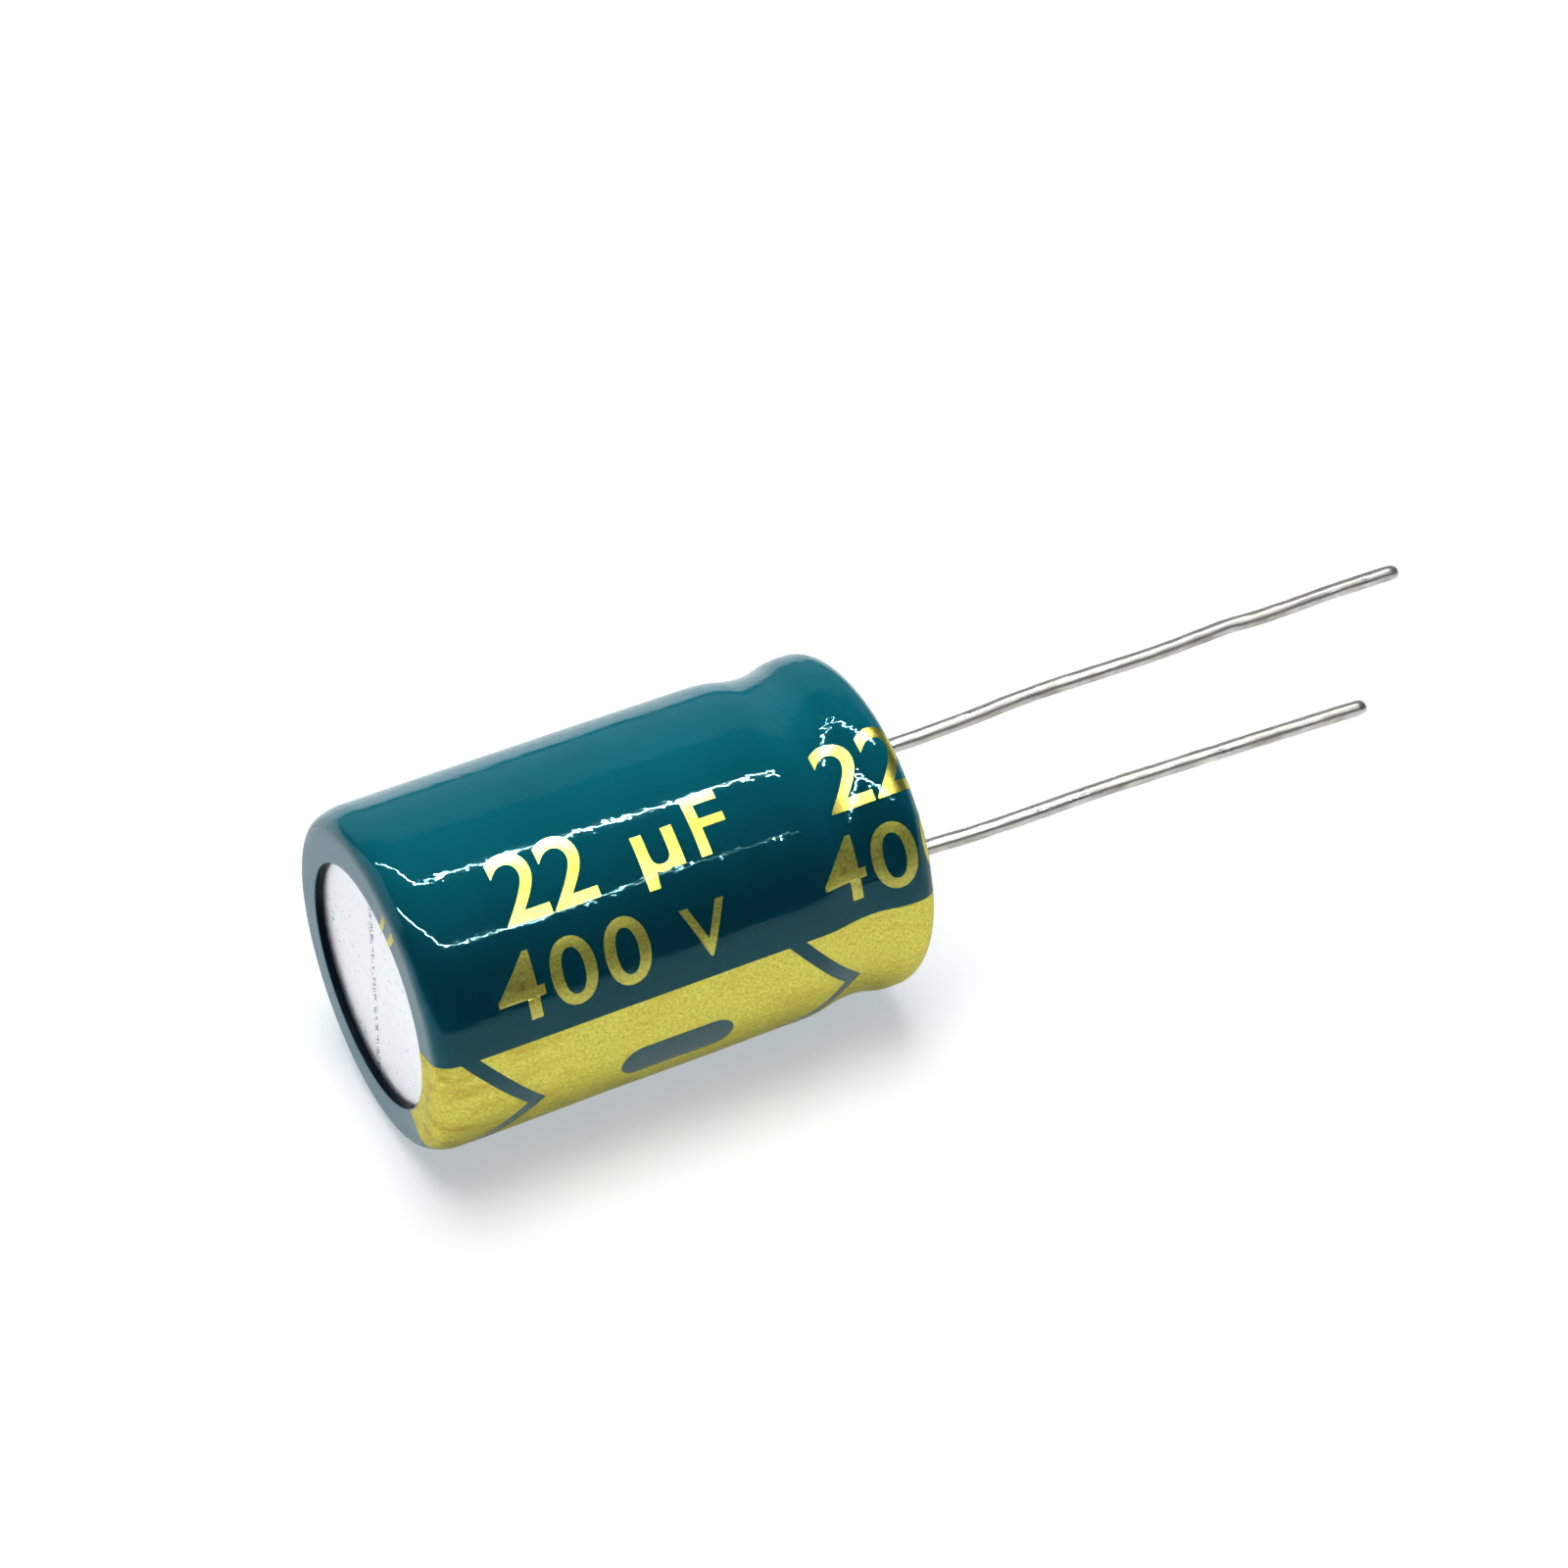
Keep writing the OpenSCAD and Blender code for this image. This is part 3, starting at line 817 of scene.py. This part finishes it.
def stage_material(name, only_camera):
    """White floor that shows from its front alone and lights the part less than it looks to.

    With only_camera, nothing but the camera sees it.
    """
    mat, tree, shader = new_material(name)
    tree.nodes.remove(shader)
    path = tree.nodes.new("ShaderNodeLightPath")
    geometry = tree.nodes.new("ShaderNodeNewGeometry")
    seen = add(tree, "ShaderNodeMath", operation="MAXIMUM")
    tree.links.new(path.outputs["Is Camera Ray"], seen.inputs[0])
    tree.links.new(path.outputs["Is Glossy Ray"], seen.inputs[1])
    white = ramp(tree, seen.outputs[0], [(0.0, FLOOR_BOUNCE), (1.0, FLOOR_WHITE)])
    diffuse = tree.nodes.new("ShaderNodeBsdfDiffuse")
    tree.links.new(white, diffuse.inputs["Color"])
    glow = add(tree, "ShaderNodeEmission", Color=(1, 1, 1, 1))
    lift = add(tree, "ShaderNodeMath", operation="MULTIPLY")
    lift.inputs[1].default_value = FLOOR_GLOW
    tree.links.new(path.outputs["Is Camera Ray"], lift.inputs[0])
    shown = add(tree, "ShaderNodeMath", operation="MULTIPLY_ADD")
    shown.inputs[1].default_value = FLOOR_MIRROR_GLOW
    tree.links.new(path.outputs["Is Glossy Ray"], shown.inputs[0])
    tree.links.new(lift.outputs[0], shown.inputs[2])
    tree.links.new(shown.outputs[0], glow.inputs["Strength"])
    both = tree.nodes.new("ShaderNodeAddShader")
    tree.links.new(diffuse.outputs[0], both.inputs[0])
    tree.links.new(glow.outputs[0], both.inputs[1])
    hidden = geometry.outputs["Backfacing"]
    if only_camera:
        unseen = add(tree, "ShaderNodeMath", operation="SUBTRACT")
        unseen.inputs[0].default_value = 1.0
        tree.links.new(path.outputs["Is Camera Ray"], unseen.inputs[1])
        either = add(tree, "ShaderNodeMath", operation="MAXIMUM")
        tree.links.new(hidden, either.inputs[0])
        tree.links.new(unseen.outputs[0], either.inputs[1])
        hidden = either.outputs[0]
    mix = tree.nodes.new("ShaderNodeMixShader")
    clear = tree.nodes.new("ShaderNodeBsdfTransparent")
    tree.links.new(hidden, mix.inputs[0])
    tree.links.new(both.outputs[0], mix.inputs[1])
    tree.links.new(clear.outputs[0], mix.inputs[2])
    tree.links.new(mix.outputs[0], tree.nodes["Material Output"].inputs["Surface"])
    return mat


def plane(name, place, normal, size, mat):
    """Square floor about a place, which faces along its normal."""
    mesh = bpy.data.meshes.new(name)
    half = size / 2
    mesh.from_pydata([(-half, -half, 0), (half, -half, 0), (half, half, 0), (-half, half, 0)], [],
                     [(0, 1, 2, 3)])
    obj = new_object(name, mesh, mat)
    turn = normal.to_track_quat("Z", "Y").to_matrix().to_4x4()
    obj.matrix_world = Matrix.Translation(place) @ turn
    return obj


def lamp(name, place, size, radiance, facing=None, lights=None, casts=None,
         glossy=True, diffuse=True):
    """Area light at a place in the photograph's room (right, front, up), in metres from the body.

    It faces down, or along a direction, and its length lies with the tubes. It may light only the
    objects of one collection, and throw only the shadows of another.
    """
    data = bpy.data.lights.new(name, "AREA")
    data.shape = "RECTANGLE"
    data.size, data.size_y = size
    data.energy = math.pi * size[0] * size[1] * radiance
    obj = bpy.data.objects.new(name, data)
    bpy.context.scene.collection.objects.link(obj)
    back = UP if facing is None else facing
    side = RIGHT * math.cos(math.radians(TUBE_TURN)) + FRONT * math.sin(math.radians(TUBE_TURN))
    side = (side - side.dot(back) * back).normalized()
    axes = Matrix((side, back.cross(side), back)).transposed().to_4x4()
    right, front, up = place
    obj.matrix_world = Matrix.Translation(MIDDLE + RIGHT * right + FRONT * front + UP * up) @ axes
    obj.visible_glossy = glossy
    obj.visible_diffuse = diffuse
    if lights:
        obj.light_linking.receiver_collection = lights
    if casts:
        obj.light_linking.blocker_collection = casts


def wall_lamp(name, towards, distance, size, radiance, **options):
    """Lamp that stands in a direction of the room and faces the body."""
    lamp(name, Vector(towards) * distance, size, radiance, facing=room(*towards), **options)


def tube(name, middle, stretches):
    """Ceiling tube in stretches of (length, radiance), from its left end to its right."""
    turn = math.radians(TUBE_TURN)
    run = -sum(length for length, _ in stretches) / 2
    for i, (length, level) in enumerate(stretches):
        centre = run + length / 2
        place = (middle[0] + centre * math.cos(turn), middle[1] + centre * math.sin(turn), middle[2])
        lamp(f"{name}_{i}", place, (length, TUBE_WIDTH), level, diffuse=False)
        run += length


def world():
    """Faint bluish light from all round, which the camera sees as white."""
    made = bpy.data.worlds.new("studio")
    bpy.context.scene.world = made
    made.use_nodes = True
    tree = made.node_tree
    background = tree.nodes["Background"]
    background.inputs["Color"].default_value = SKY_COLOUR
    background.inputs["Strength"].default_value = SKY_STRENGTH
    white = add(tree, "ShaderNodeBackground", Strength=1.0)
    white.inputs["Color"].default_value = (1, 1, 1, 1)
    mix = tree.nodes.new("ShaderNodeMixShader")
    path = tree.nodes.new("ShaderNodeLightPath")
    tree.links.new(path.outputs["Is Camera Ray"], mix.inputs[0])
    tree.links.new(background.outputs[0], mix.inputs[1])
    tree.links.new(white.outputs[0], mix.inputs[2])
    tree.links.new(mix.outputs[0], tree.nodes["World Output"].inputs["Surface"])


def collection(name, objects):
    """Collection outside the scene, for the lamps that light or shade only its objects."""
    made = bpy.data.collections.new(name)
    for obj in objects:
        made.objects.link(obj)
    return made


def stage():
    """Floors, surroundings and lamps."""
    # The floor of the photograph touches the sleeve's side
    floor = plane("floor", -UP * BODY_R * MM, UP, FLOOR_SIZE, stage_material("floor_white", False))
    # The floor under the part as it stands, for other views
    ground = plane("ground", Vector((0, 0, -GROUND_GAP * MM)), Vector((0, 0, 1)), GROUND_SIZE,
                   stage_material("ground_white", True))
    world()
    floor_only = collection("floor_only", [floor])
    ground_only = collection("ground_only", [ground])
    pieces = [obj for obj in bpy.data.objects if obj.type == "MESH" and obj not in (floor, ground)]
    part_only = collection("part_only", pieces)
    for name, (middle, stretches) in TUBES.items():
        tube(name, middle, stretches)
    lamp("overhead", (-0.03, -0.02, 0.5), (0.3, 0.4), 4.8, lights=floor_only, glossy=False)
    # Light on the closed end, straight along the body
    lamp("end_fill", -PART_UP * 0.5, (0.15, 0.15), 10, facing=Vector((0, 0, -1)),
         lights=part_only, glossy=False)
    wall_lamp("key", (0.04, -0.62, 0.79), 0.5, (0.25, 0.2), 15.5, lights=part_only, glossy=False)
    wall_lamp("left_wall", (-0.9, 0.0, 0.35), 0.9, (0.9, 0.6), 0.93, diffuse=False)
    wall_lamp("back_wall", (-0.1, -0.9, 0.42), 0.8, (1.6, 0.6), 0.22)
    # Light for the other views: on the ground, and on the side that lies on the photograph's floor
    lamp("above_ground", PART_UP * 0.5, (0.5, 0.5), 2.4, facing=Vector((0, 0, 1)),
         lights=ground_only, casts=part_only, glossy=False)
    wall_lamp("under_floor", (0.15, -0.75, -0.6), 0.5, (0.4, 0.3), 5.0,
              lights=part_only, casts=part_only, glossy=False)


def main():
    """Builds the pieces, gives the solids their materials and sets the stage."""
    bpy.context.scene.view_settings.view_transform = "Standard"
    teal = sleeve_material()
    # The film's cut edge is painted dark as shade
    sleeve_piece(teal, edge_shade_material())
    stripe_piece(ink_material("gold_ink", 0.0))
    lettering(ink_material("gold_print", 0.5))
    tinned = wire_material()
    for node in DRIFTS:
        lead_piece(node, tinned)
    bare = metal_material("bare_aluminium", (0.6, 0.61, 0.63), (0.72, 0.73, 0.75), 0.4, 1.0,
                          [((6.0, 3.0), 0.4, 0.01)])
    etched = metal_material("etched_foil", (0.38, 0.39, 0.41), (0.5, 0.51, 0.53), 0.6, 2.0,
                            [((12.0, 3.0), 0.5, 0.01)])
    give(["can"], can_material())
    give(["positive_lead", "negative_lead"], tinned)
    give(["positive_tab", "negative_tab"], bare)
    give(["anode_foil", "cathode_foil"], etched)
    rubber = plain_material("black_rubber", (0.012, 0.012, 0.013), (0.03, 0.03, 0.03), 0.7, 1.0, 5.0)
    give(["seal"], rubber)
    paper = plain_material("kraft_paper", (0.55, 0.42, 0.24), (0.66, 0.54, 0.34), 0.85, 1.5, 8.0)
    give(["inner_paper", "outer_paper"], paper)
    tape = plain_material("amber_tape", (0.5, 0.27, 0.06), (0.6, 0.36, 0.1), 0.35, 0.8, 2.0)
    give(["fixing_tape"], tape)
    stage()


main()
